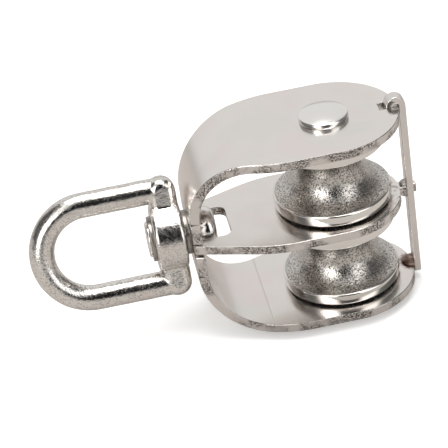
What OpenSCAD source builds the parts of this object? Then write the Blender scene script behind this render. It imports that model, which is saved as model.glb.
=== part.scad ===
// Swivel pulley block with two sheaves: a bent strap with a centre plate, a riveted axle and a swivel eye.
// The axle lies along Z with its middle at the origin. The eye points to -X, the open end to +X.

/* [Sheaves] */
// Outside diameter of each sheave
sheave_d = 25; // [24:0.5:26]
// Diameter at the bottom of the rope groove
neck_d = 14.4; // [13.6:0.1:15]
// Height of the cylindrical band on each rim
rim_h = 2.5; // [2:0.1:3]
// Radius on the edges of the rims
rim_round = 0.5; // [0.3:0.1:0.7]

/* [Strap and centre plate] */
// Thickness of the strap and of the centre plate
plate_t = 2; // [1.8:0.1:2.2]
// Clear height of the space for each sheave
bay_h = 17.6; // [17.4:0.1:18]
// Width of the cheeks at the axle
cheek_w = 30; // [29:0.5:31]
// Distance from the axle to the rounded end of the cheeks
tail_x = 15.6; // [15.4:0.1:16]
// Distance from the axle to the outside of the crown
crown_x = 31.3; // [31:0.1:32]
// Width of the strap at the outside of the crown
crown_w = 16.4; // [16:0.2:17]
// Outside radius of the strap's two bends
bend_r = 14; // [13:0.5:14.5]
// Angle at which each side of the strap narrows towards the crown
taper = 20.4; // [19:0.2:21]
// Width of the centre plate at the axle
centre_w = 28.4; // [27:0.2:28.6]
// Width of the window in the centre plate
window_w = 11.6; // [11.2:0.2:12]
// Distance from the axle to the closed end of the window
window_x = 22.7; // [22:0.1:23.2]
// Radius in the window's two closed corners
window_round = 2; // [1:0.5:3]
// Gap above and below each of the centre plate's tabs in its notch
notch_gap = 0.6; // [0.3:0.1:0.8]

/* [Axle] */
// Diameter of the rivet's shank
axle_d = 6; // [5.6:0.1:6.2]
// Diameter of the rivet's two heads
rivet_head_d = 10.4; // [10:0.2:11]
// Height of each head
rivet_head_h = 2; // [1.6:0.1:2.2]
// Height of the straight edge of each head
rivet_edge_h = 1.1; // [0.8:0.1:1.2]
// Outside diameter of the sleeves that the sheaves turn on
bush_d = 8; // [7.6:0.1:8.4]
// Diameter of the thrust washers
washer_d = 12; // [11:0.5:13]
// Thickness of the thrust washers
washer_t = 0.5; // [0.4:0.1:0.6]

/* [Tie strip] */
// Thickness of the strip
strip_t = 1.5; // [1.4:0.1:1.6]
// Width of the strip
strip_w = 2.8; // [2.6:0.1:3]
// Inside radius of the hook over the upper cheek
hook_r = 0.6; // [0.5:0.05:0.8]
// Spare length of the hook's hole towards the axle
hook_room = 1.3; // [1:0.1:1.6]
// Width of the centre plate's tongue through the strip
tongue_w = 1.4; // [1.2:0.1:1.6]
// How far the tongue stands out of the strip
tongue_out = 0.7; // [0.4:0.1:1]

/* [Swivel eye] */
// Turn of the eye about the long axis
eye_turn = 17; // [0:1:90]
// Clear width of the eye
eye_in_w = 14.8; // [14.6:0.1:15]
// Distance from the axle to the eye's far end
eye_end_x = 65.2; // [64:0.2:67]
// Diameter of the eye's round bar
bar_d = 5.4; // [5.2:0.1:5.6]
// Thickness of the eye's cross bar
base_t = 6; // [5.9:0.1:6.4]
// Depth of the eye's cross bar across the ring's plane
bar_depth = 5.8; // [5.6:0.1:6]
// Diameter of the round boss
boss_d = 14.4; // [14:0.2:14.8]

/* [Swivel pin] */
// Diameter of the pin's shank
pin_d = 6; // [5.8:0.1:6.2]
// Diameter of the button head inside the strap
button_d = 9.4; // [9:0.1:9.6]
// Height of the button head
button_h = 3.6; // [3.2:0.1:3.8]
// Diameter of the collar between eye and crown
collar_d = 9.4; // [9:0.2:10]
// Thickness of the collar
collar_t = 1; // [0.8:0.1:1.2]
// Diameter of the flat washer on the eye's inner face
end_washer_d = 9.6; // [9:0.2:10]
// Thickness of the flat washer
end_washer_t = 0.8; // [0.6:0.1:1]
// Diameter of the pin's riveted end
pin_end_d = 7.6; // [7.2:0.1:8]
// Height of the pin's riveted end
pin_end_h = 0.6; // [0.4:0.1:0.8]

/* [Hidden] */
$fn = 96;

// Radial clearance of a turning fit, and play along an axis
fit = 0.05;
play = 0.1;
// Length by which a cutting tool passes the face that it opens
past = 1;

// Half the height over both cheeks, and the middle height of each sheave
half_h = plate_t / 2 + bay_h + plate_t;
bay_z = plate_t / 2 + bay_h / 2;

// Radius of the curve that joins the taper to the parallel sides, and its number of chords
blend_r = 22.3;
blend_steps = 8;

// Sheave: width between the thrust washers, and the groove's circle through the neck and both rims
sheave_w = bay_h - 2 * washer_t - 2 * play;
rim_r = sheave_d / 2;
groove_edge_z = sheave_w / 2 - rim_h;
groove_depth = (sheave_d - neck_d) / 2;
groove_r = (groove_edge_z * groove_edge_z + groove_depth * groove_depth) / (2 * groove_depth);
groove_x = neck_d / 2 + groove_r;

// Centre plate: half the fork's clear width, width over its two tabs, end of its round tail. The tabs stop
// inside the strap's edges, and the tail's centre lies a little behind the axle
tab_recess = 0.3;
tail_shift = 0.1;
fork_y = window_w / 2;
centre_crown_w = crown_w - 2 * tab_recess;
centre_tail_x = centre_w / 2 + tail_shift;

// Eye: how far the boss stands proud of the cross bar towards the crown and inside the eye, how far the
// cross bar's ends pass the arms, rounding of the boss, of the cross bar's ends and of its long edges
boss_front = 0.1;
boss_back = 0.3;
bar_past = 0.1;
boss_round = 0.8;
end_round = 2.9;
bar_round = 1.2;

// Eye: face towards the crown, middle of the cross bar, centre line of the arms, centre of the bow
eye_face_x = -(crown_x + collar_t + play);
boss_l = boss_front + base_t + boss_back;
base_x = eye_face_x - boss_front - base_t / 2;
arm_z = (eye_in_w + bar_d) / 2;
bow_x = -(eye_end_x - bar_d - eye_in_w / 2);
base_half_w = arm_z + bar_d / 2 + bar_past;

// Rounding of the pin's riveted end, as a part of its height
pin_end_round = 0.8;

// Tie strip: inner face of the web, middle of the hook
web_x = tail_x + fit;
hook_x = web_x - hook_r;

// Sizes of the two tacks along X, Y and Z from the corner that each fills
centre_weld = [1.3, 1.3, 1];
lower_weld = [2.4, 2.2, 1.3];

// What a round corner leaves of a square one. The corner is at the origin, the material towards -X and -Y
module corner_cut(r) {
    difference() {
        translate([-r, -r]) square(r + past);
        translate([-r, -r]) circle(r);
    }
}

// Outline of a plate seen along the axle: taper from the crown, a blend curve, parallel sides, round tail
module plate_outline(half_w, half_crown, end_x) {
    blend_y = half_w - blend_r * (1 - cos(taper));
    blend_x = -crown_x + (blend_y - half_crown) / tan(taper);
    side_x = blend_x + blend_r * sin(taper);
    side = [[-crown_x, half_crown],
        for (i = [0 : blend_steps]) let (a = taper * (1 - i / blend_steps))
            [side_x - blend_r * sin(a), half_w - blend_r * (1 - cos(a))],
        [end_x, half_w]];
    difference() {
        polygon([each side, for (i = [len(side) - 1 : -1 : 0]) [side[i].x, -side[i].y]]);
        difference() {
            translate([end_x - half_w, -half_w - past]) square([half_w + past, 2 * (half_w + past)]);
            translate([end_x - half_w, 0]) circle(half_w);
        }
    }
}

// The strap as a bent sheet, wider than any part of it will be
module bent_strap() {
    bend_x = bend_r - crown_x;
    bend_z = half_h - bend_r;
    sheet_w = cheek_w + 2 * past;
    translate([-crown_x, -sheet_w / 2, -bend_z]) cube([plate_t, sheet_w, 2 * bend_z]);
    for (side = [0, 1]) mirror([0, 0, side]) {
        translate([bend_x, -sheet_w / 2, half_h - plate_t])
            cube([tail_x + past - bend_x, sheet_w, plate_t]);
        translate([bend_x, 0, bend_z]) rotate([90, 0, 0])
            rotate_extrude(angle = 90, start = 90)
                translate([bend_r - plate_t, -sheet_w / 2]) square([plate_t, sheet_w]);
    }
}

// Both cheeks and the crown, with holes for axle, pin and hook, and notches for the centre plate's tabs
module outer_shell() {
    color("gainsboro") difference() {
        intersection() {
            bent_strap();
            linear_extrude(2 * half_h + 2 * past, center = true)
                plate_outline(cheek_w / 2, crown_w / 2, tail_x);
        }
        cylinder(d = axle_d + 2 * fit, h = 3 * half_h, center = true);
        rotate([0, -90, 0]) cylinder(d = pin_d + 2 * fit, h = crown_x + past);
        for (side = [0, 1]) mirror([0, side, 0])
            translate([-crown_x - past, fork_y - fit, -plate_t / 2 - notch_gap])
                cube([plate_t + 2 * past, crown_w, plate_t + 2 * notch_gap]);
        translate([hook_x - hook_r - strip_t - hook_room, -strip_w / 2 - fit, half_h - plate_t - past])
            cube([strip_t + hook_room + fit, strip_w + 2 * fit, plate_t + 2 * past]);
    }
}

module window_outline() {
    difference() {
        translate([-crown_x - past, -fork_y]) square([crown_x + past - window_x, window_w]);
        for (side = [0, 1]) mirror([0, side]) translate([-window_x, fork_y]) corner_cut(window_round);
    }
}

// Plate between the sheaves: two tabs in the crown, a window round the pin's head, a tongue at the tail
module centre_plate() {
    color("silver") difference() {
        union() {
            linear_extrude(plate_t, center = true)
                plate_outline(centre_w / 2, centre_crown_w / 2, centre_tail_x);
            translate([0, -strip_w / 2, -plate_t / 2]) cube([web_x, strip_w, plate_t]);
            translate([0, -tongue_w / 2, -plate_t / 2])
                cube([web_x + strip_t + tongue_out, tongue_w, plate_t]);
        }
        linear_extrude(2 * plate_t, center = true) window_outline();
        cylinder(d = axle_d + 2 * fit, h = 2 * plate_t, center = true);
    }
}

// Rivet through cheeks and centre plate, with the same low dome at both ends
module axle_rivet() {
    dome_h = rivet_head_h - rivet_edge_h;
    dome_r = (pow(rivet_head_d / 2, 2) + dome_h * dome_h) / (2 * dome_h);
    color("whitesmoke") rotate_extrude() {
        translate([0, -half_h - rivet_edge_h]) square([axle_d / 2, 2 * (half_h + rivet_edge_h)]);
        for (side = [0, 1]) mirror([0, side]) intersection() {
            translate([0, half_h]) square([rivet_head_d / 2, rivet_head_h]);
            translate([0, half_h + rivet_head_h - dome_r]) circle(dome_r, $fn = 240);
        }
    }
}

// Half section of a sheave: bore, two rims with rounded edges, and the rope groove between them
module sheave_section() {
    edge = [rim_r - rim_round, sqrt(pow(groove_r + rim_round, 2) - pow(rim_r - rim_round - groove_x, 2))];
    towards = ([groove_x, 0] - edge) / (groove_r + rim_round);
    reach = rim_round + past;
    bore_r = bush_d / 2 + fit;
    difference() {
        translate([bore_r, -sheave_w / 2]) square([rim_r - bore_r, sheave_w]);
        translate([groove_x, 0]) circle(groove_r);
        for (side = [0, 1]) mirror([0, side]) {
            translate([rim_r, sheave_w / 2]) corner_cut(rim_round);
            difference() {
                polygon([edge, edge + [reach, 0], edge + [reach, -reach], edge + reach * towards]);
                translate(edge) circle(rim_round);
            }
        }
    }
}

module sheave(z) {
    color("darkgray") translate([0, 0, z]) rotate_extrude() sheave_section();
}
module upper_sheave() { sheave(bay_z); }
module lower_sheave() { sheave(-bay_z); }

module bush(z) {
    color("goldenrod") translate([0, 0, z]) difference() {
        cylinder(d = bush_d, h = bay_h, center = true);
        cylinder(d = axle_d + 2 * fit, h = bay_h + 2 * past, center = true);
    }
}
module upper_bush() { bush(bay_z); }
module lower_bush() { bush(-bay_z); }

// A thrust washer that lies on the plate at height z, on the side that up names
module thrust_washer(z, up) {
    color("lightgray") translate([0, 0, z + up * washer_t / 2]) difference() {
        cylinder(d = washer_d, h = washer_t, center = true);
        cylinder(d = bush_d + 2 * fit, h = 2 * past, center = true);
    }
}
module upper_outer_washer() { thrust_washer(half_h - plate_t, -1); }
module upper_inner_washer() { thrust_washer(plate_t / 2, 1); }
module lower_inner_washer() { thrust_washer(-plate_t / 2, -1); }
module lower_outer_washer() { thrust_washer(plate_t - half_h, 1); }

// Flat strip across the open end, bent over the upper cheek into its hole, slotted for the tongue
module tie_strip() {
    color("gainsboro") difference() {
        union() {
            translate([web_x, -strip_w / 2, -half_h]) cube([strip_t, strip_w, 2 * half_h]);
            translate([hook_x - hook_r - strip_t, -strip_w / 2, half_h - plate_t])
                cube([strip_t, strip_w, plate_t]);
            translate([hook_x, 0, half_h]) rotate([90, 0, 0]) rotate_extrude(angle = 180)
                translate([hook_r, -strip_w / 2]) square([strip_t, strip_w]);
        }
        translate([web_x - past, -tongue_w / 2 - fit, -plate_t / 2 - fit])
            cube([strip_t + 2 * past, tongue_w + 2 * fit, plate_t + 2 * fit]);
    }
}

// A bead of weld in the corner between the strip's web and a plate face at height z
module tack(size, z) {
    intersection() {
        translate([web_x, 0, z]) scale(size) sphere(1);
        translate([web_x - 2 * size.x, -2 * size.y, z]) cube([2 * size.x, 4 * size.y, 2 * size.z]);
    }
}
module tie_strip_centre_weld() {
    color("rosybrown") for (side = [0, 1]) mirror([0, 0, side]) tack(centre_weld, plate_t / 2);
}
module tie_strip_lower_weld() { color("sienna") tack(lower_weld, plate_t - half_h); }

// Rectangle with four round corners, its middle at the origin
module round_rect(a, b, r) {
    difference() {
        square([a, b], center = true);
        for (i = [0, 1]) mirror([i, 0]) for (j = [0, 1]) mirror([0, j])
            translate([a / 2, b / 2]) corner_cut(r);
    }
}

// Cross bar of the eye along Z: a flat-sided block, rounded along every edge and most at its two ends
module cross_bar() {
    span = 2 * base_half_w;
    intersection() {
        linear_extrude(span, center = true) round_rect(base_t, bar_depth, bar_round);
        rotate([90, 0, 0]) linear_extrude(bar_depth + past, center = true)
            round_rect(base_t, span, end_round);
        rotate([0, 90, 0]) linear_extrude(base_t + past, center = true)
            round_rect(span, bar_depth, bar_round);
    }
}

// Boss for the pin, from the face towards the crown to the inside of the eye
module boss() {
    translate([eye_face_x, 0, 0]) rotate([0, -90, 0]) rotate_extrude() difference() {
        square([boss_d / 2, boss_l]);
        translate([boss_d / 2, boss_l]) corner_cut(boss_round);
        mirror([0, 1]) translate([boss_d / 2, 0]) corner_cut(boss_round);
    }
}

// One casting: half ring, two straight arms, cross bar and boss with the pin's bore
module swivel_eye() {
    color("lightgray") rotate([-eye_turn, 0, 0]) difference() {
        union() {
            translate([bow_x, 0, 0]) rotate([90, 0, 0])
                rotate_extrude(angle = 180, start = 90) translate([arm_z, 0]) circle(d = bar_d);
            for (side = [1, -1]) translate([bow_x, 0, side * arm_z]) rotate([0, 90, 0])
                cylinder(d = bar_d, h = base_x - bow_x);
            translate([base_x, 0, 0]) cross_bar();
            boss();
        }
        translate([eye_face_x + past, 0, 0]) rotate([0, -90, 0])
            cylinder(d = pin_d + 2 * fit, h = boss_l + 2 * past);
    }
}

// Pin with a button head inside the strap and a riveted end over the flat washer
module swivel_pin() {
    head_x = plate_t + play - crown_x;
    end_x = eye_face_x - boss_l - end_washer_t;
    color("whitesmoke") translate([head_x, 0, 0]) rotate([0, 90, 0]) rotate_extrude() {
        difference() {
            square([button_d / 2, button_h]);
            translate([button_d / 2, button_h]) corner_cut(button_h / 2);
        }
        translate([0, end_x - head_x - pin_end_h / 2])
            square([pin_d / 2, head_x - end_x + pin_end_h / 2 + button_h / 2]);
        difference() {
            translate([0, end_x - head_x - pin_end_h]) square([pin_end_d / 2, pin_end_h]);
            mirror([0, 1]) translate([pin_end_d / 2, head_x - end_x + pin_end_h])
                corner_cut(pin_end_round * pin_end_h);
        }
    }
}

// A ring round the swivel axis from x towards the eye
module swivel_ring(x, d, t) {
    translate([x, 0, 0]) rotate([0, -90, 0]) difference() {
        cylinder(d = d, h = t);
        translate([0, 0, -past]) cylinder(d = pin_d + 2 * fit, h = t + 2 * past);
    }
}
module swivel_washer() { color("darkgray") swivel_ring(-crown_x, collar_d, collar_t); }
module pin_end_washer() { color("silver") swivel_ring(eye_face_x - boss_l, end_washer_d, end_washer_t); }

outer_shell();
centre_plate();
axle_rivet();
upper_sheave();
lower_sheave();
upper_bush();
lower_bush();
upper_outer_washer();
upper_inner_washer();
lower_inner_washer();
lower_outer_washer();
tie_strip();
tie_strip_centre_weld();
tie_strip_lower_weld();
swivel_eye();
swivel_pin();
swivel_washer();
pin_end_washer();
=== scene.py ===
# %% [markdown]
# # A swivel pulley block with two sheaves
# The block is a strap of stainless steel bent into a U, with a centre plate, a riveted axle, two cast
# sheaves and a cast swivel eye. Its exact shape comes from the CAD frame. This lesson gives it its looks:
# rounded arrises, a cast eye with soft fillets, turned and cast sheaves, and metals with grain, wear and
# heat tint. The frame is loaded first, because every later piece takes its place from it.

# %% Load the frame
import math

import bmesh
import bpy
from mathutils import Matrix, Vector, noise


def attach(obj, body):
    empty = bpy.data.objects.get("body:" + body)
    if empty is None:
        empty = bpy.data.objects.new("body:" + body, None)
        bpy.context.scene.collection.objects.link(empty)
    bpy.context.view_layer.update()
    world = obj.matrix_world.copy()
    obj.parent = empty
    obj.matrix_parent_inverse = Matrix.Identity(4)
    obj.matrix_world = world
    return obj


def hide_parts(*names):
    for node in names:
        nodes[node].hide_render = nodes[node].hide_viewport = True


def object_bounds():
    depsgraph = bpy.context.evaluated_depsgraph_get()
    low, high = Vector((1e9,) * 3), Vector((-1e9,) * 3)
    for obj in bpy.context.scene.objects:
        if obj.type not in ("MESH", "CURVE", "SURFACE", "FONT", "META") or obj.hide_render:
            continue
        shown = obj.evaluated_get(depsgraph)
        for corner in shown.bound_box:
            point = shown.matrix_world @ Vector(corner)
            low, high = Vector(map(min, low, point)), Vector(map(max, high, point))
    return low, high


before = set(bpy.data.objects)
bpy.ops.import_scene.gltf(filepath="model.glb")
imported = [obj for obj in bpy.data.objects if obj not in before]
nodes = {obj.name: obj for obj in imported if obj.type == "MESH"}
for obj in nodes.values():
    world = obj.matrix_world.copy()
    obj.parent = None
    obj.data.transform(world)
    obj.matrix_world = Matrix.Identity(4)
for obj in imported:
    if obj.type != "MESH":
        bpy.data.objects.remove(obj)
cad_low, cad_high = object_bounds()
MM = 0.001

# %% [markdown]
# ## Camera
# A long lens from about half a metre keeps the cheeks nearly parallel, as a catalogue picture does. The
# camera looks down from the front and a little to the left, and it is rolled so that the block points up to
# the right. The camera's own axes are built from the three angles, which is clearer than stacking Euler
# turns.

# %% Camera from three angles
AZIMUTH, ELEVATION, ROLL = math.radians(-5), math.radians(32), math.radians(8.8)
DISTANCE, LENS, NEAREST, FARTHEST = 0.44, 168.0, 0.01, 20
back = Vector((math.sin(AZIMUTH) * math.cos(ELEVATION), -math.cos(AZIMUTH) * math.cos(ELEVATION),
               math.sin(ELEVATION)))
level = Vector((math.cos(AZIMUTH), math.sin(AZIMUTH), 0))
upright = back.cross(level)
right = math.cos(ROLL) * level - math.sin(ROLL) * upright
up = math.sin(ROLL) * level + math.cos(ROLL) * upright
middle = (cad_low + cad_high) / 2

camera = bpy.data.objects.new("camera", bpy.data.cameras.new("camera"))
camera.data.lens, camera.data.clip_start, camera.data.clip_end = LENS, NEAREST, FARTHEST
stand = Matrix.Translation(middle + back * DISTANCE)
camera.matrix_world = stand @ Matrix((right, up, back)).transposed().to_4x4()
bpy.context.scene.collection.objects.link(camera)
bpy.context.scene.camera = camera
print("camera at", [round(v, 3) for v in camera.matrix_world.translation])

# %% [markdown]
# ## Studio
# Polished metal shows little but its surroundings, so the studio is the first half of the material. The sky
# is painted by direction: a bright panel overhead, two bright panels at the front with an unlit gap between
# them, dim sides, a pale back wall, and a soft grey band along the horizon. The gap draws the dark band
# along every round bar, the dim sides give the grooves their depth, and the horizon keeps upright faces
# from going black.

# %% Small helpers that place shader nodes
def put(tree, kind, inputs=None, **settings):
    """Adds one node. An input may be a value or another node's socket."""
    made = tree.nodes.new("ShaderNode" + kind)
    for name, value in settings.items():
        setattr(made, name, value)
    for key, value in (inputs or {}).items():
        if isinstance(value, bpy.types.NodeSocket):
            tree.links.new(value, made.inputs[key])
        else:
            made.inputs[key].default_value = value
    return made


def calc(tree, operation, a, b=0.0):
    return put(tree, "Math", {0: a, 1: b}, operation=operation).outputs[0]


def times(tree, product, *factors):
    for factor in factors:
        product = calc(tree, "MULTIPLY", product, factor)
    return product


def ramp(tree, value, low, high, to_low=0.0, to_high=1.0):
    """A smooth step from to_low at low to to_high at high."""
    made = put(tree, "MapRange", {"Value": value, "From Min": low, "From Max": high, "To Min": to_low,
                                  "To Max": to_high}, interpolation_type="SMOOTHSTEP")
    return made.outputs["Result"]


def blend_floats(tree, factor, a, b):
    return put(tree, "Mix", {0: factor, 2: a, 3: b}, data_type="FLOAT").outputs[0]


def mix_colors(tree, factor, a, b):
    return put(tree, "Mix", {0: factor, 6: a, 7: b}, data_type="RGBA").outputs[2]


def cloud(tree, spot, scale, detail=2.0, roughness=0.5):
    """Noise between 0 and 1 with features of about 1 / scale."""
    return put(tree, "TexNoise", {"Vector": spot, "Scale": scale, "Detail": detail,
                                  "Roughness": roughness}).outputs[0]


print("helpers ready")

# %% The sky, painted by direction
WALL, SIDE, PANEL, OVERHEAD, GAP, HORIZON, BACKDROP = 0.8, 0.13, 1.7, 1.45, 0.012, 0.66, 0.95
SKY_TINT = (1.0, 0.985, 0.97, 1)
# Where one light fades into the next: turns in degrees from the front, heights as the sine of the elevation
GAP_TURN, PANEL_INNER, PANEL_OUTER, REAR_TURN = (24, 17), (19, 26), (66, 52), (128, 146)
PANEL_FOOT, PANEL_HEAD, OVERHEAD_EDGE, HORIZON_EDGE = (0.07, 0.13), (0.98, 0.94), (0.9, 0.94), (0.11, 0.06)

sky = bpy.data.worlds.new("studio")
sky.use_nodes = True
tree = sky.node_tree
tree.nodes.clear()
axes = put(tree, "SeparateXYZ", {0: put(tree, "TexCoord").outputs["Generated"]}).outputs
turn = calc(tree, "ABSOLUTE", calc(tree, "ARCTAN2", axes["X"], times(tree, axes["Y"], -1.0)))
height = axes["Z"]


def at_turn(edge):
    return ramp(tree, turn, math.radians(edge[0]), math.radians(edge[1]))


in_height = times(tree, ramp(tree, height, *PANEL_FOOT), ramp(tree, height, *PANEL_HEAD))
gap = times(tree, in_height, at_turn(GAP_TURN))
panel = times(tree, in_height, times(tree, at_turn(PANEL_INNER), at_turn(PANEL_OUTER)))
light = blend_floats(tree, panel, blend_floats(tree, at_turn(REAR_TURN), SIDE, WALL), PANEL)
light = blend_floats(tree, ramp(tree, height, *OVERHEAD_EDGE), light, OVERHEAD)
light = blend_floats(tree, gap, light, GAP)
light = blend_floats(tree, ramp(tree, height, *HORIZON_EDGE), light, HORIZON)
light = blend_floats(tree, put(tree, "LightPath").outputs["Is Camera Ray"], light, BACKDROP)
painted = put(tree, "Background", {"Color": SKY_TINT, "Strength": light})
tree.links.new(painted.outputs[0], put(tree, "OutputWorld").inputs["Surface"])
bpy.context.scene.world = sky
bpy.context.scene.view_settings.view_transform = "Standard"
print("studio with", len(tree.nodes), "nodes")

# %% Soft lights
LAMP_TINT = (1.0, 0.985, 0.96)


def soft_light(name, place, size, power):
    """A rectangle of light at a place in metres from the middle of the part, aimed at that middle."""
    lamp = bpy.data.lights.new(name, "AREA")
    lamp.shape, lamp.size, lamp.size_y, lamp.energy = "RECTANGLE", size[0], size[1], power
    lamp.color = LAMP_TINT
    made = bpy.data.objects.new(name, lamp)
    made.location = middle + Vector(place)
    made.rotation_euler = (middle - made.location).to_track_quat("-Z", "Y").to_euler()
    bpy.context.scene.collection.objects.link(made)


soft_light("light_overhead", (0.05, 0.02, 0.9), (0.8, 0.4), 4)
soft_light("light_left", (-0.6, -0.7, 0.42), (0.3, 0.4), 2)
print("lights", [lamp.name for lamp in bpy.data.lights])

# %% [markdown]
# The floor is paper that looks white to the camera and light grey to the metal. Without the two tones,
# either the background would be grey or the undersides would be washed out.

# %% The floor
FLOOR_SIZE, FLOOR_DROP = 4, 0.02
PAPER_SEEN, PAPER_MIRRORED = (0.95, 0.95, 0.95, 1), (0.55, 0.522, 0.5, 1)
PAPER_GLOW, PAPER_ROUGHNESS, PAPER_SHEEN = 0.3, 0.9, 0.1

floor_mesh = bpy.data.meshes.new("floor")
shape = bmesh.new()
bmesh.ops.create_grid(shape, x_segments=1, y_segments=1, size=FLOOR_SIZE)
shape.to_mesh(floor_mesh)
floor = bpy.data.objects.new("floor", floor_mesh)
floor.location.z = cad_low.z - FLOOR_DROP * MM
bpy.context.scene.collection.objects.link(floor)

paper = bpy.data.materials.new("studio_paper")
paper.use_nodes = True
tree = paper.node_tree
paper_inputs = tree.nodes["Principled BSDF"].inputs
seen = put(tree, "LightPath").outputs["Is Camera Ray"]
tree.links.new(mix_colors(tree, seen, PAPER_MIRRORED, PAPER_SEEN), paper_inputs["Base Color"])
tree.links.new(times(tree, seen, PAPER_GLOW), paper_inputs["Emission Strength"])
paper_inputs["Emission Color"].default_value = (1, 1, 1, 1)
paper_inputs["Roughness"].default_value = PAPER_ROUGHNESS
paper_inputs["Specular IOR Level"].default_value = PAPER_SHEEN
floor_mesh.materials.append(paper)
print("floor at", round(floor.location.z / MM, 2), "mm")

# %% [markdown]
# ## Effects that several metals share
# Real steel is never one flat grey. It has fine grain, thin scratches, patches where the rolling skin is
# warmer or cooler, bright worn arrises, and torn grain where the press has cut it. Each of these is one
# node group with its own inputs, so that every metal can use it with its own values.

# %% Make a node group from its sockets
def start_group(name, inputs, outputs):
    group = bpy.data.node_groups.new(name, "ShaderNodeTree")
    for title, kind, value in inputs:
        made = group.interface.new_socket(title, in_out="INPUT", socket_type="NodeSocket" + kind)
        made.default_value = value
    for title, kind in outputs:
        group.interface.new_socket(title, in_out="OUTPUT", socket_type="NodeSocket" + kind)
    enter = group.nodes.new("NodeGroupInput").outputs
    leave = group.nodes.new("NodeGroupOutput").inputs
    return group, enter, leave


def place_on(tree, stretch=(1, 1, 1)):
    """The surface's own coordinates in millimetres, stretched to draw out lines."""
    local = put(tree, "TexCoord").outputs["Object"]
    in_mm = put(tree, "VectorMath", {0: local, 1: (1 / MM,) * 3}, operation="MULTIPLY").outputs[0]
    return put(tree, "VectorMath", {0: in_mm, 1: stretch}, operation="MULTIPLY").outputs[0]


print("coordinates are in millimetres")

# %% Grain: fine pebbles or drawn lines
PIT_EDGE = 0.49, 0.42
grain, enter, leave = start_group(
    "grain", [("Size", "Float", 0.2), ("Stretch", "Vector", (1, 1, 1)), ("Roughness", "Float", 0.6)],
    [("Height", "Float"), ("Pits", "Float")])
pebbles = cloud(grain, place_on(grain, enter["Stretch"]), calc(grain, "DIVIDE", 1.0, enter["Size"]), 3.0,
                enter["Roughness"])
grain.links.new(pebbles, leave["Height"])
grain.links.new(ramp(grain, pebbles, *PIT_EDGE), leave["Pits"])
print("grain", len(grain.nodes), "nodes")

# %% Scratches: long thin marks in one direction, broken up
SCRATCH_SCALE, BREAK_SCALE, SCRATCH_W, BREAK_EDGE = 1.3, 0.22, 0.012, (0.5, 0.62)
scratches, enter, leave = start_group(
    "scratches", [("Stretch", "Vector", (0.12, 4.0, 4.0)), ("Amount", "Float", 0.5)], [("Mask", "Float")])
lines = cloud(scratches, place_on(scratches, enter["Stretch"]), SCRATCH_SCALE)
broken = cloud(scratches, place_on(scratches), BREAK_SCALE, 1.0)
thin = ramp(scratches, calc(scratches, "ABSOLUTE", calc(scratches, "SUBTRACT", lines, 0.5)), SCRATCH_W, 0.0)
kept = ramp(scratches, broken, *BREAK_EDGE)
scratches.links.new(times(scratches, thin, kept, enter["Amount"]), leave["Mask"])
print("scratches", len(scratches.nodes), "nodes")

# %% Patches: slow changes between the plain, the warm and the cool tone of the steel
WARM_EDGE, COOL_EDGE, COOL_SHIFT = (0.45, 0.65), (0.5, 0.68), (31.0, 17.0, 53.0)
patches, enter, leave = start_group(
    "patches", [("Plain", "Color", (0.8, 0.78, 0.76, 1)), ("Warm", "Color", (0.8, 0.72, 0.7, 1)),
                ("Cool", "Color", (0.74, 0.75, 0.72, 1)), ("Size", "Float", 9.0), ("Amount", "Float", 0.5)],
    [("Color", "Color"), ("Tone", "Float")])
spot = place_on(patches)
scale = calc(patches, "DIVIDE", 1.0, enter["Size"])
warmth = cloud(patches, spot, scale)
moved = put(patches, "VectorMath", {0: spot, 1: COOL_SHIFT}, operation="ADD").outputs[0]
coolness = cloud(patches, moved, scale)
to_warm = times(patches, ramp(patches, warmth, *WARM_EDGE), enter["Amount"])
to_cool = times(patches, ramp(patches, coolness, *COOL_EDGE), enter["Amount"])
warmed = mix_colors(patches, to_warm, enter["Plain"], enter["Warm"])
patches.links.new(mix_colors(patches, to_cool, warmed, enter["Cool"]), leave["Color"])
patches.links.new(warmth, leave["Tone"])
print("patches", len(patches.nodes), "nodes")

# %% Worn arris: how far the smoothed normal leans away from the true one
LEAN_EDGE, RUB_EDGE, RUB_SCALE = (0.01, 0.12), (0.25, 0.6), 0.8
worn_arris, enter, leave = start_group(
    "worn_arris", [("Width", "Float", 0.3), ("Strength", "Float", 1.0)], [("Mask", "Float")])
smoothed = put(worn_arris, "Bevel", {"Radius": times(worn_arris, enter["Width"], MM)}, samples=4).outputs[0]
true_normal = put(worn_arris, "NewGeometry").outputs["True Normal"]
agree = put(worn_arris, "VectorMath", {0: smoothed, 1: true_normal}, operation="DOT_PRODUCT").outputs["Value"]
leaning = ramp(worn_arris, calc(worn_arris, "SUBTRACT", 1.0, agree), *LEAN_EDGE)
rub = cloud(worn_arris, place_on(worn_arris), RUB_SCALE, 3.0)
mask = times(worn_arris, leaning, ramp(worn_arris, rub, *RUB_EDGE), enter["Strength"])
worn_arris.links.new(mask, leave["Mask"])
print("worn_arris", len(worn_arris.nodes), "nodes")

# %% Torn grain: dark pits and ridges on the faces that the press has sheared
TORN_EDGE, STRETCH_EDGE, STRETCH_SCALE = (0.54, 0.48), (0.42, 0.56), 0.18
TORN_DETAIL, TORN_ROUGHNESS = 4.0, 0.7
torn_grain, enter, leave = start_group(
    "torn_grain", [("Face", "Float", 1.0), ("Size", "Float", 0.32)], [("Height", "Float"), ("Dark", "Float")])
spot = place_on(torn_grain)
torn = cloud(torn_grain, spot, calc(torn_grain, "DIVIDE", 1.0, enter["Size"]), TORN_DETAIL,
             TORN_ROUGHNESS)
along = cloud(torn_grain, spot, STRETCH_SCALE)
where = times(torn_grain, enter["Face"], ramp(torn_grain, along, *STRETCH_EDGE))
torn_grain.links.new(times(torn_grain, torn, enter["Face"]), leave["Height"])
torn_grain.links.new(times(torn_grain, ramp(torn_grain, torn, *TORN_EDGE), where), leave["Dark"])
print("groups", [g.name for g in bpy.data.node_groups])

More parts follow.
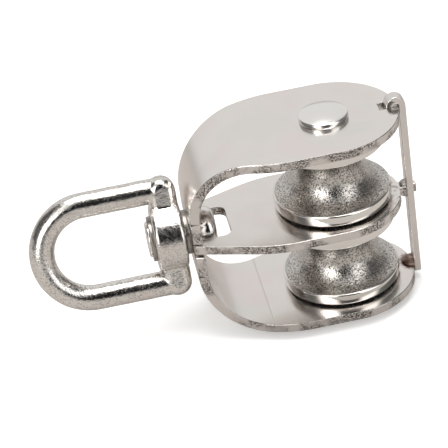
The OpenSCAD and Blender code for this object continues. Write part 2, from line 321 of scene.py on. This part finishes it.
# %% [markdown]
# ## Metals
# Every metal is a Principled shader with Metallic at 1, so its colour is the colour of its reflections. One
# function wires the shared effects: patches give the colour, grain gives roughness and bump, the worn arris
# brightens and smooths the edges, and torn grain darkens the sheared faces. Each finish passes its own
# values.

# %% One function for all the steels
PIT, SHEARED, TORN = (0.12, 0.11, 0.1, 1), (0.62, 0.59, 0.57, 1), (0.05, 0.045, 0.04, 1)
RUBBED, BURR, BURR_EDGE = (0.93, 0.92, 0.9, 1), (0.06, 0.055, 0.05, 1), (0.52, 0.44)
SHEARED_SHARE, TORN_SHARE, TORN_DEPTH = 0.45, 0.9, 0.05
TONE_RANGE, SCRATCH_DEPTH, RUB_POLISH = (0.35, 0.65), 0.006, 0.08
finishes = {}


def use(tree, group, inputs):
    return put(tree, "Group", inputs, node_tree=group).outputs


def steel(name, plain, warm, cool, tint=0.5, patch=9.0, rough=(0.25, 0.35), grain_size=0.15,
          grain_stretch=(1, 1, 1), bump=0.02, pits=0.0, edge=0.4, edge_width=0.3, scratch=0.4,
          scratch_stretch=(0.12, 4, 4), sheared=None, extra=None):
    """Roughness is a pair, lengths are in millimetres. sheared(tree) gives the mask of the sheared faces, and
    extra(tree, color, roughness, height) adds what only this finish has."""
    material = bpy.data.materials.new(name)
    material.use_nodes = True
    tree = material.node_tree
    shader = tree.nodes["Principled BSDF"]
    shader.inputs["Metallic"].default_value = 1.0
    tone = use(tree, patches, {"Plain": (*plain, 1), "Warm": (*warm, 1), "Cool": (*cool, 1), "Size": patch,
                               "Amount": tint})
    fine = use(tree, grain, {"Size": grain_size, "Stretch": grain_stretch})
    marks = use(tree, scratches, {"Stretch": scratch_stretch, "Amount": scratch})["Mask"]
    worn = use(tree, worn_arris, {"Width": edge_width, "Strength": edge})["Mask"]
    color, height = tone["Color"], times(tree, fine["Height"], bump)
    mixed = calc(tree, "ADD", times(tree, fine["Height"], 0.5), times(tree, tone["Tone"], 0.5))
    roughness = ramp(tree, mixed, *TONE_RANGE, *rough)
    if pits:
        color = mix_colors(tree, times(tree, fine["Pits"], pits), color, PIT)
    if sheared:
        face = sheared(tree)
        torn = use(tree, torn_grain, {"Face": face})
        color = mix_colors(tree, times(tree, face, SHEARED_SHARE), color, SHEARED)
        color = mix_colors(tree, times(tree, torn["Dark"], TORN_SHARE), color, TORN)
        height = calc(tree, "ADD", height, times(tree, torn["Height"], TORN_DEPTH))
    height = calc(tree, "SUBTRACT", height, times(tree, marks, SCRATCH_DEPTH))
    color = mix_colors(tree, worn, color, RUBBED)
    if sheared:
        color = mix_colors(tree, times(tree, worn, ramp(tree, fine["Height"], *BURR_EDGE)), color, BURR)
    roughness = calc(tree, "SUBTRACT", roughness, times(tree, worn, RUB_POLISH))
    if extra:
        color, roughness, height = extra(tree, color, roughness, height)
    tree.links.new(color, shader.inputs["Base Color"])
    tree.links.new(roughness, shader.inputs["Roughness"])
    relief = put(tree, "Bump", {"Height": height, "Distance": MM, "Strength": 1.0})
    tree.links.new(relief.outputs[0], shader.inputs["Normal"])
    finishes[name] = material


print("one function, five groups")

# %% Masks for the sheared faces
TAIL_START, STRAP_EDGE, PLATE_EDGE = (8.0, 9.0), (0.3, 0.6), (0.7, 0.4)


def local_normal(tree):
    return put(tree, "SeparateXYZ", {0: put(tree, "TexCoord").outputs["Normal"]}).outputs


def local_place(tree):
    """The surface's own coordinates as three numbers, in millimetres."""
    return put(tree, "SeparateXYZ", {0: place_on(tree)}).outputs


def strap_sides(tree):
    """The bent sheet's own faces never look along Y, and only its round ends look along X behind the axle."""
    normal, place = local_normal(tree), local_place(tree)
    tail = times(tree, calc(tree, "ABSOLUTE", normal["X"]), ramp(tree, place["X"], *TAIL_START))
    return ramp(tree, calc(tree, "ADD", calc(tree, "ABSOLUTE", normal["Y"]), tail), *STRAP_EDGE)


def plate_sides(tree):
    """The centre plate's own faces look along Z, and all its other faces are sheared."""
    return ramp(tree, calc(tree, "ABSOLUTE", local_normal(tree)["Z"]), *PLATE_EDGE)


print("masks for the strap and the centre plate")

# %% [markdown]
# Some marks belong to one piece only: the line that the bending die left, the heat tint round the tacks,
# the mottled tail of the centre plate, and the turned rims of the sheaves.

# %% Marks that only the strap has
HALO_AT, HALO_STRETCH, HALO_EDGE, HALO = (15.4, 0.0, -18.6), (1, 0.8, 1), (4.0, 2.6), (0.2, 0.12, 0.1, 1)
HALO_WANDER, HALO_SCALE = 1.6, 1.4
DIE_X, DIE_W, DIE_DEPTH, DIE_SHARE, DIE = -17.4, 0.35, 0.05, 0.35, (0.45, 0.42, 0.4, 1)
CHEEK_INSIDE = 19.4, 18.8


def heat_halo(tree, color):
    """Brown heat tint on the lower cheek round the tack that holds the strip."""
    off = put(tree, "VectorMath", {0: place_on(tree, HALO_STRETCH), 1: HALO_AT}, operation="DISTANCE")
    film = cloud(tree, place_on(tree), HALO_SCALE, 3.0)
    reach = calc(tree, "ADD", off.outputs["Value"], times(tree, film, HALO_WANDER))
    return mix_colors(tree, ramp(tree, reach, *HALO_EDGE), color, HALO)


def die_line(tree, color, roughness, height):
    """A faint line across the inside of each cheek, where the bending die ended."""
    place = local_place(tree)
    color = heat_halo(tree, color)
    off = calc(tree, "ABSOLUTE", calc(tree, "SUBTRACT", place["X"], DIE_X))
    inside = ramp(tree, calc(tree, "ABSOLUTE", place["Z"]), *CHEEK_INSIDE)
    line = times(tree, ramp(tree, off, DIE_W, 0.0), inside)
    color = mix_colors(tree, times(tree, line, DIE_SHARE), color, DIE)
    return color, roughness, calc(tree, "SUBTRACT", height, times(tree, line, DIE_DEPTH))


print("die line at", DIE_X, "mm")

# %% Marks of the centre plate, the sheaves and the heated tack
BLOTCH, BLOTCH_EDGE, TAIL_EDGE = (0.22, 0.2, 0.2, 1), (0.5, 0.62), (10.5, 13.5)
BLOTCH_SCALE, BLOTCH_SHARE, BLOTCH_ROUGHNESS = 0.9, 0.6, 0.15
RIM_EDGE, RIM_BRIGHT, RIM_ROUGHNESS, RING_DEPTH = (12.0, 12.25), (0.84, 0.82, 0.79, 1), 0.12, 0.006
RING_SCALE, FILM_SCALE, FILM_SHARE = 7.0, 1.1, 0.85
FILMS = (0.3, (0.05, 0.032, 0.028, 1)), (0.5, (0.16, 0.09, 0.072, 1)), (0.75, (0.4, 0.33, 0.29, 1))


def tail_mottle(tree, color, roughness, height):
    """Dark marks on the centre plate beside the tacked strip."""
    near = ramp(tree, local_place(tree)["X"], *TAIL_EDGE)
    dark = times(tree, ramp(tree, cloud(tree, place_on(tree), BLOTCH_SCALE, 4.0), *BLOTCH_EDGE), near)
    color = mix_colors(tree, times(tree, dark, BLOTCH_SHARE), color, BLOTCH)
    return color, calc(tree, "ADD", roughness, times(tree, dark, BLOTCH_ROUGHNESS)), height


def turned_rims(tree, color, roughness, height):
    """The rims and side faces are turned smooth, and only the groove keeps its cast skin."""
    place = local_place(tree)
    squares = [calc(tree, "POWER", place[axis], 2.0) for axis in "XY"]
    radius = calc(tree, "SQRT", calc(tree, "ADD", *squares))
    rim = ramp(tree, radius, *RIM_EDGE)
    rings = cloud(tree, put(tree, "CombineXYZ", {0: radius, 2: place["Z"]}).outputs[0], RING_SCALE)
    color = mix_colors(tree, rim, color, RIM_BRIGHT)
    roughness = blend_floats(tree, rim, roughness, RIM_ROUGHNESS)
    return color, roughness, blend_floats(tree, rim, height, times(tree, rings, RING_DEPTH))


def heat_colours(tree, color, roughness, height):
    """Brown films that heat leaves round a tack weld."""
    bands = put(tree, "ValToRGB", {"Fac": cloud(tree, place_on(tree), FILM_SCALE)})
    stops = bands.color_ramp.elements
    stops[0].position, stops[0].color = FILMS[0]
    stops[1].position, stops[1].color = FILMS[2]
    stops.new(FILMS[1][0]).color = FILMS[1][1]
    return mix_colors(tree, FILM_SHARE, color, bands.outputs[0]), roughness, height


print("rims start at radius", RIM_EDGE[0], "mm")

# %% The finishes of the sheet steel
PLAIN, WARM, COOL = (0.82, 0.79, 0.762), (0.82, 0.755, 0.74), (0.78, 0.775, 0.74)
steel("strap_steel", PLAIN, WARM, COOL, tint=0.7, patch=11, rough=(0.17, 0.26), grain_size=0.12, bump=0.003,
      edge=0.7, edge_width=0.35, scratch_stretch=(0.1, 3, 3), sheared=strap_sides, extra=die_line)
steel("plate_steel", PLAIN, WARM, COOL, tint=0.5, patch=7, rough=(0.16, 0.26), grain_size=0.14, bump=0.004,
      edge=0.6, sheared=plate_sides, extra=tail_mottle)
steel("strip_steel", (0.77, 0.74, 0.72), (0.74, 0.68, 0.66), (0.7, 0.7, 0.68), tint=0.5, patch=5,
      rough=(0.16, 0.28), grain_size=0.1, grain_stretch=(1, 1, 0.08), bump=0.01, edge=0.6, edge_width=0.2,
      scratch_stretch=(4, 4, 0.15))
print("sheet finishes", sorted(finishes))

# %% The finishes of the turned and cast pieces, the washers, the bushes and the tacks
steel("rivet_steel", (0.86, 0.85, 0.83), (0.86, 0.83, 0.8), (0.84, 0.85, 0.83), tint=0.3, rough=(0.12, 0.2),
      grain_size=0.25, bump=0.004, edge=0.4, scratch_stretch=(3, 0.3, 3))
steel("pin_steel", (0.8, 0.79, 0.77), WARM, COOL, tint=0.3, rough=(0.1, 0.18), grain_size=0.3, bump=0.008,
      edge=0.4)
steel("sheave_steel", (0.66, 0.64, 0.61), (0.64, 0.6, 0.57), (0.62, 0.62, 0.59), tint=0.4, patch=6,
      rough=(0.16, 0.3), grain_size=0.28, bump=0.055, pits=1.0, edge=0.3, scratch=0.0, extra=turned_rims)
steel("eye_steel", (0.82, 0.8, 0.77), (0.8, 0.74, 0.72), (0.78, 0.78, 0.75), tint=0.6, patch=8,
      rough=(0.06, 0.14), grain_size=0.34, bump=0.05, pits=0.45, edge=0.0, scratch=0.1)
# Painted shade: the washers' metal is made dark grey to stand in for the shade of the narrow gaps where they
# sit, such as between the eye and the crown.
steel("washer_steel", (0.36, 0.34, 0.32), (0.34, 0.3, 0.27), (0.3, 0.31, 0.3), tint=0.6, patch=3,
      rough=(0.22, 0.36), grain_size=0.2, bump=0.02, edge=0.6, edge_width=0.15)
steel("bush_bronze", (0.62, 0.42, 0.22), (0.5, 0.28, 0.14), (0.42, 0.34, 0.2), tint=0.6, patch=3,
      rough=(0.25, 0.4), grain_size=0.2, grain_stretch=(1, 1, 6), bump=0.02, edge=0.5, edge_width=0.15)
steel("tack_steel", (0.62, 0.6, 0.58), (0.5, 0.44, 0.4), (0.42, 0.43, 0.44), tint=0.8, patch=0.7,
      rough=(0.15, 0.35), grain_size=0.3, bump=0.1, pits=0.8, edge=0.3, edge_width=0.15)
steel("weld_tint", (0.4, 0.32, 0.28), (0.3, 0.18, 0.13), (0.3, 0.3, 0.34), tint=0.8, patch=0.8,
      rough=(0.25, 0.45), grain_size=0.3, bump=0.08, edge=0.3, edge_width=0.15, extra=heat_colours)
print("finishes", sorted(finishes))

# %% [markdown]
# ## The pressed and turned pieces that keep their CAD shape
# The strap, the centre plate, the tie strip, the pin and the washers are right as the CAD made them, but
# their corners are razor sharp. A real press rounds one side of a cut and leaves a bright line there. A
# Weld modifier joins the split corners of the imported mesh, a Bevel rounds the arrises, and weighted
# normals keep the flats flat.

# %% Round the arrises of the CAD pieces and give them their metals
SHARP_CORNER, SAME_PLACE = math.radians(40), 1e-7
BUSHES = ["upper_bush", "lower_bush"]
THRUST_WASHERS = ["upper_outer_washer", "upper_inner_washer", "lower_inner_washer", "lower_outer_washer"]
# Each row: nodes, their metal, the radius on their arrises in millimetres
CAD_PIECES = [(["outer_shell"], "strap_steel", 0.22), (["centre_plate"], "plate_steel", 0.18),
              (["tie_strip"], "strip_steel", 0.2), (["swivel_pin"], "pin_steel", 0),
              (["swivel_washer", "pin_end_washer"], "washer_steel", 0.12), (BUSHES, "bush_bronze", 0.1),
              (THRUST_WASHERS, "washer_steel", 0.08), (["tie_strip_centre_weld"], "tack_steel", 0),
              (["tie_strip_lower_weld"], "weld_tint", 0)]


def soften(made, width):
    made.modifiers.new("weld", "WELD").merge_threshold = SAME_PLACE
    if width:
        rounding = made.modifiers.new("arris", "BEVEL")
        rounding.width, rounding.segments, rounding.limit_method = width * MM, 3, "ANGLE"
        rounding.angle_limit, rounding.use_clamp_overlap = SHARP_CORNER, False
    made.modifiers.new("normals", "WEIGHTED_NORMAL").keep_sharp = False


for names, metal, width in CAD_PIECES:
    for name in names:
        soften(nodes[name], width)
        nodes[name].data.materials.clear()
        nodes[name].data.materials.append(finishes[metal])
print("CAD pieces with metals", sum(len(names) for names, _, _ in CAD_PIECES))

# %% [markdown]
# ## Turned pieces
# A sheave and a rivet are round, so each is an outline turned about the axle. The outline is drawn as
# points and arcs in millimetres, radius first and height second, and copied round in equal steps. Building
# it this way gives even quads, which the cast skin of the groove needs, because its pebbles are moved
# vertices.

# %% Turn an outline about the axle
ON_AXLE = 1e-6


def arc(centre, radius, start, end, steps):
    """Points on a circle, angles in degrees from the outward direction."""
    angles = [math.radians(start + (end - start) * i / steps) for i in range(steps + 1)]
    return [(centre[0] + radius * math.cos(a), centre[1] + radius * math.sin(a)) for a in angles]


def add_object(name, mesh):
    made = bpy.data.objects.new(name, mesh)
    bpy.context.scene.collection.objects.link(made)
    return made


def turned(name, outline, steps, closed):
    """closed joins the last point to the first; otherwise the outline starts and ends on the axle."""
    shape = bmesh.new()
    turns = [2 * math.pi * i / steps for i in range(steps)]
    rings = []
    for radius, height in outline:
        if radius < ON_AXLE:
            rings.append([shape.verts.new((0, 0, height * MM))] * steps)
            continue
        rings.append([shape.verts.new((radius * MM * math.cos(t), radius * MM * math.sin(t), height * MM))
                      for t in turns])
    for low, high in zip(rings, rings[1:] + rings[:1] if closed else rings[1:]):
        for i in range(steps):
            corners = [low[i], low[(i + 1) % steps], high[(i + 1) % steps], high[i]]
            shape.faces.new(list(dict.fromkeys(corners)))
    bmesh.ops.recalc_face_normals(shape, faces=shape.faces)
    mesh = bpy.data.meshes.new(name)
    for face in shape.faces:
        face.smooth = True
    shape.to_mesh(mesh)
    return add_object(name, mesh)


def dress(made, metal, body, replaced):
    """Gives a new piece its metal and its body, and hides the CAD node that it stands for."""
    made.data.materials.clear()
    made.data.materials.append(finishes[metal])
    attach(made, body)
    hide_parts(replaced)
    print(made.name, len(made.data.vertices), "vertices")


print("outlines are radius and height in millimetres")

# %% The rivet: two low domes with a crisp rolled edge, on a plain shank
SHANK_R, HEAD_R, EDGE_ROUND, FOOT, LIFT, DOME_START = 3.0, 5.2, 0.3, 0.15, 0.04, 0.93
HEAD_LOW, HEAD_EDGE, HEAD_TOP = 20.6, 21.7, 22.6
dome_rise = HEAD_TOP - HEAD_EDGE
dome_r = (HEAD_R ** 2 + dome_rise ** 2) / (2 * dome_rise)
rim_height = HEAD_TOP - dome_r + math.sqrt((dome_r - EDGE_ROUND) ** 2 - (HEAD_R - EDGE_ROUND) ** 2)
dome_angle = math.degrees(math.atan2(HEAD_R - EDGE_ROUND, rim_height - HEAD_TOP + dome_r))
half_head = [(SHANK_R, 0), (SHANK_R, HEAD_LOW), (HEAD_R - 2 * FOOT, HEAD_LOW)]
half_head += [(HEAD_R - FOOT, HEAD_LOW + LIFT), (HEAD_R, HEAD_LOW + FOOT + LIFT)]
half_head += arc((HEAD_R - EDGE_ROUND, rim_height), EDGE_ROUND, 0, 90 - dome_angle, 6)
half_head += arc((0, HEAD_TOP - dome_r), dome_r, 90 - dome_angle * DOME_START, 90, 12)[:-1] + [(0, HEAD_TOP)]
whole_rivet = [(r, -h) for r, h in reversed(half_head[1:])] + half_head[1:]
dress(turned("rivet", whole_rivet, 128, closed=False), "rivet_steel", "block", "axle_rivet")

# %% The outline of a sheave, with a shallow recess in each side face
RIM_R, RIM_ROUND, HALF_W = 12.5, 0.5, 8.2
GROOVE_X, GROOVE_R, BORE_R, CHAMFER = 12.915, 5.715, 4.05, 0.3
RECESS, RECESS_INNER, RECESS_OUTER, HUB_R, FACE_R = 0.25, (6.6, 6.9), (9.6, 9.9), 5.4, 11
arris_z = math.sqrt((GROOVE_R + RIM_ROUND) ** 2 - (RIM_R - RIM_ROUND - GROOVE_X) ** 2)
lean = math.degrees(math.atan2(-arris_z, GROOVE_X - RIM_R + RIM_ROUND))


def sheave_outline():
    side = [(BORE_R, HALF_W - CHAMFER), (BORE_R + CHAMFER, HALF_W), (HUB_R, HALF_W)]
    side += [(RECESS_INNER[0], HALF_W), (RECESS_INNER[1], HALF_W - RECESS)]
    side += [(RECESS_OUTER[0], HALF_W - RECESS), (RECESS_OUTER[1], HALF_W), (FACE_R, HALF_W)]
    side += arc((RIM_R - RIM_ROUND, HALF_W - RIM_ROUND), RIM_ROUND, 90, 0, 6)
    side += arc((RIM_R - RIM_ROUND, arris_z), RIM_ROUND, 0, lean, 6)
    groove = arc((GROOVE_X, 0), GROOVE_R, 180 + lean, 180 - lean, 56)
    return side + groove[1:-1] + [(r, -h) for r, h in reversed(side)]


print("outline of", len(sheave_outline()), "points")

# %% The sheaves: rims turned smooth, groove left as it was cast
SKIN_DEPTH, PEBBLE = 0.035, 0.5
SKIN_END, SKIN_FADE, SKIN_MARGIN = 12.0, 0.8, 0.4


def cast_skin(made, shift):
    """Moves groove vertices into the metal in pebbles, fading out at the arrises."""
    for vertex in made.data.vertices:
        x, y, z = vertex.co / MM
        radius = math.hypot(x, y)
        fade = min(1.0, max(0.0, (SKIN_END - radius) / SKIN_FADE)) * (abs(z) < arris_z - SKIN_MARGIN)
        if fade:
            pebble = noise.fractal(Vector((x, y, z)) / PEBBLE + shift, 0.7, 2.1, 3)
            push = fade * SKIN_DEPTH * (0.5 + 0.5 * max(-1.0, min(1.0, pebble)))
            out = Vector((GROOVE_X * x / radius - x, GROOVE_X * y / radius - y, -z)).normalized()
            vertex.co -= out * push * MM


for level_name, bay, shift in (("upper", 9.8, Vector((0, 0, 0))), ("lower", -9.8, Vector((41, 7, 23)))):
    wheel = turned(level_name + "_sheave_cast", sheave_outline(), 224, closed=True)
    cast_skin(wheel, shift)
    wheel.location.z = bay * MM
    dress(wheel, "sheave_steel", level_name + "_wheel", level_name + "_sheave")

# %% [markdown]
# ## The cast eye
# The eye is one casting: a round bar bent to a U, a cross bar with round ends, and a boss for the pin. On
# the real piece these flow into each other with small fillets. The simple solids are overlapped, a voxel
# remesh melts them into one skin, and a few smoothing passes turn every inside corner into a fillet. The
# pin's bore is cut in the simple solids first, so that the remesh softens the hole's two rims as well.

# %% Sizes of the eye, and two helpers
BAR_R, ARM_Z, BOW_X, BASE_X, ARM_IN, BOW_STEPS = 2.7, 10.1, -52.4, -35.5, 0.3, 64
BLOCK, END_ROUND, LONG_ROUND = (6.0, 5.8, 25.8), 2.9, 1.9
FACE_X, BOSS_L, BOSS_R, BOSS_ROUND, TURN = -32.4, 6.4, 7.2, 0.8, 17
BORE_PIN_R, DRILL_L = 3.08, 14


def settle(made):
    """Applies every modifier to the mesh."""
    bpy.context.view_layer.update()
    final = bpy.data.meshes.new_from_object(made.evaluated_get(bpy.context.evaluated_depsgraph_get()))
    made.modifiers.clear()
    made.data = final


def bored(made):
    """Cuts the pin's bore through one of the simple solids."""
    shape = bmesh.new()
    along_x = Matrix.Translation((BASE_X * MM, 0, 0)) @ Matrix.Rotation(math.radians(90), 4, "Y")
    bmesh.ops.create_cone(shape, cap_ends=True, segments=64, radius1=BORE_PIN_R * MM, radius2=BORE_PIN_R * MM,
                          depth=DRILL_L * MM, matrix=along_x)
    drill_mesh = bpy.data.meshes.new("drill")
    shape.to_mesh(drill_mesh)
    drill = add_object("drill", drill_mesh)
    cut = made.modifiers.new("bore", "BOOLEAN")
    cut.operation, cut.object, cut.solver = "DIFFERENCE", drill, "EXACT"
    settle(made)
    bpy.data.objects.remove(drill)
    return made


print("eye turned", TURN, "degrees about the pin")

# %% The simple solids: bent bar, cross bar and boss
def tube(shape, path, radius, sides=40):
    """Skins a path of points and directions in the XZ plane with a round bar."""
    turns = [2 * math.pi * i / sides for i in range(sides)]
    rings = []
    for centre, heading in path:
        across = Vector((-heading.z, 0, heading.x))
        spokes = [math.cos(t) * across + math.sin(t) * Vector((0, 1, 0)) for t in turns]
        rings.append([shape.verts.new((centre + radius * spoke) * MM) for spoke in spokes])
    for low, high in zip(rings, rings[1:]):
        for i in range(sides):
            shape.faces.new((low[i], low[(i + 1) % sides], high[(i + 1) % sides], high[i]))
    shape.faces.new(rings[0])
    shape.faces.new(list(reversed(rings[-1])))


def cross_block():
    """The cross bar: a block rounded first at its ends and then along all its edges."""
    sharp, same_way = math.radians(60), 0.9
    shape = bmesh.new()
    bmesh.ops.create_cube(shape, size=1, matrix=Matrix.Diagonal((*(v * MM for v in BLOCK), 1)))
    for axis, radius, steps in ((1, END_ROUND, 10), (None, LONG_ROUND, 6)):
        chosen = [e for e in shape.edges if e.calc_face_angle() > sharp]
        if axis is not None:
            chosen = [e for e in chosen if abs((e.verts[0].co - e.verts[1].co).normalized()[axis]) > same_way]
        bmesh.ops.bevel(shape, geom=chosen, offset=radius * MM, segments=steps, affect="EDGES", profile=0.5)
    mesh = bpy.data.meshes.new("block")
    shape.to_mesh(mesh)
    mesh.transform(Matrix.Translation((BASE_X * MM, 0, 0)))
    return add_object("block", mesh)


def round_boss():
    lower = arc((BOSS_R - BOSS_ROUND, BOSS_ROUND), BOSS_ROUND, -90, 0, 8)
    upper = arc((BOSS_R - BOSS_ROUND, BOSS_L - BOSS_ROUND), BOSS_ROUND, 0, 90, 8)
    boss = turned("boss_outline", [(0, 0)] + lower + upper + [(0, BOSS_L)], 96, closed=False)
    boss.data.transform(Matrix.Translation((FACE_X * MM, 0, 0)) @ Matrix.Rotation(math.radians(-90), 4, "Y"))
    return boss


def eye_solids():
    shape = bmesh.new()
    path = [(Vector((BASE_X - ARM_IN, 0, ARM_Z)), Vector((-1, 0, 0)))]
    for i in range(BOW_STEPS + 1):
        a = math.pi * i / BOW_STEPS
        centre = Vector((BOW_X - ARM_Z * math.sin(a), 0, ARM_Z * math.cos(a)))
        path.append((centre, Vector((-math.cos(a), 0, -math.sin(a)))))
    path.append((Vector((BASE_X - ARM_IN, 0, -ARM_Z)), Vector((1, 0, 0))))
    tube(shape, path, BAR_R)
    boss = round_boss()
    for extra in (bored(cross_block()), bored(boss)):
        shape.from_mesh(extra.data)
        bpy.data.objects.remove(extra)
    bmesh.ops.recalc_face_normals(shape, faces=shape.faces)
    mesh = bpy.data.meshes.new("cast_eye")
    shape.to_mesh(mesh)
    return add_object("cast_eye", mesh)


eye = eye_solids()
print("simple solids", len(eye.data.vertices), "vertices")

# %% [markdown]
# A cast bar is never perfectly even, so a slow and a quick wave move the skin by a few hundredths of a
# millimetre. All the normals are read before the first vertex moves: Blender works them out again after
# every change, and on a dense mesh that takes minutes.

# %% Melt them together, round the inside corners and add the waves
VOXEL, FLOW, PASSES = 0.2, 0.5, 7
WAVE, SLOW_WAVE, QUICK_WAVE = 0.03, 3.2, 0.7
melt = eye.modifiers.new("melt", "REMESH")
melt.mode, melt.voxel_size, melt.use_smooth_shade = "VOXEL", VOXEL * MM, True
flow = eye.modifiers.new("flow", "SMOOTH")
flow.factor, flow.iterations = FLOW, PASSES
settle(eye)
outwards = [vertex.normal.copy() for vertex in eye.data.vertices]
for vertex, out in zip(eye.data.vertices, outwards):
    spot = vertex.co / MM
    wave = noise.fractal(spot / SLOW_WAVE, 0.9, 2.0, 2) + 0.5 * noise.noise(spot / QUICK_WAVE)
    vertex.co += out * max(-WAVE, min(WAVE, wave * WAVE)) * MM

eye.data.transform(Matrix.Rotation(math.radians(-TURN), 4, "X"))
for face in eye.data.polygons:
    face.use_smooth = True
eye.modifiers.new("normals", "WEIGHTED_NORMAL").keep_sharp = True
dress(eye, "eye_steel", "eye", "swivel_eye")
